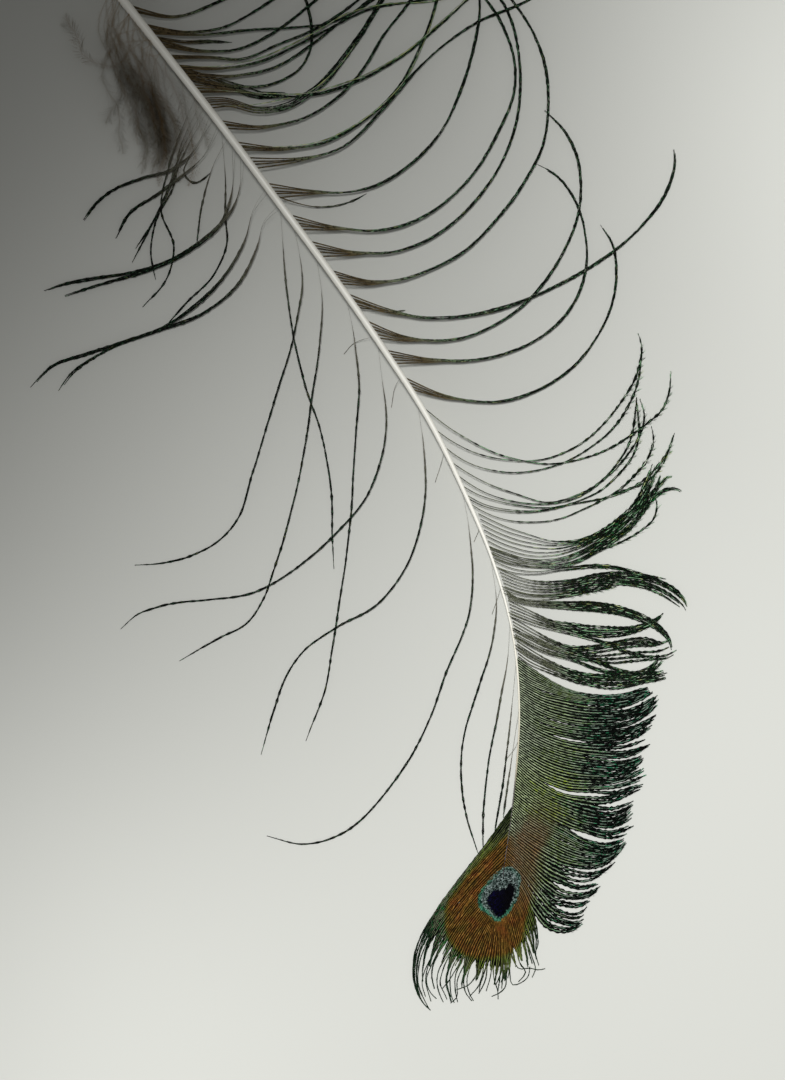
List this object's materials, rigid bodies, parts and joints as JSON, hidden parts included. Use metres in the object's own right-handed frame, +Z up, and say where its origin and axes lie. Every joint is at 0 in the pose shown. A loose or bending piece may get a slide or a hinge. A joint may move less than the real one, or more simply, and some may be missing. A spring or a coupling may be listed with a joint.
{
  "type": "peacock feather",
  "caption": "Peacock tail feather lying flat: a pale curved shaft with an eye-marked vane at the tip, a dense fringe on one side, loose curling strands on both and down at the base",
  "frame": {"origin": "on the surface the feather lies on, under the middle of its eye", "axes": "+Y towards the quill, +X towards the densely fringed side, +Z up, out of the face that shows the eye"},
  "size_m": [0.205, 0.3396, 0.0088],
  "materials": {
    "barbs": "fine dark green-black barbs with bronze bases and green glints",
    "eye": "dense barbs: bronze field, blue-green ring and dark blue centre, silky sheen",
    "shaft": "ivory horn-like shaft, satin, brown towards the tip",
    "down": "soft brown-grey down"
  },
  "bodies": {
    "root": {"feather": "barbs"}
  },
  "joints": []
}
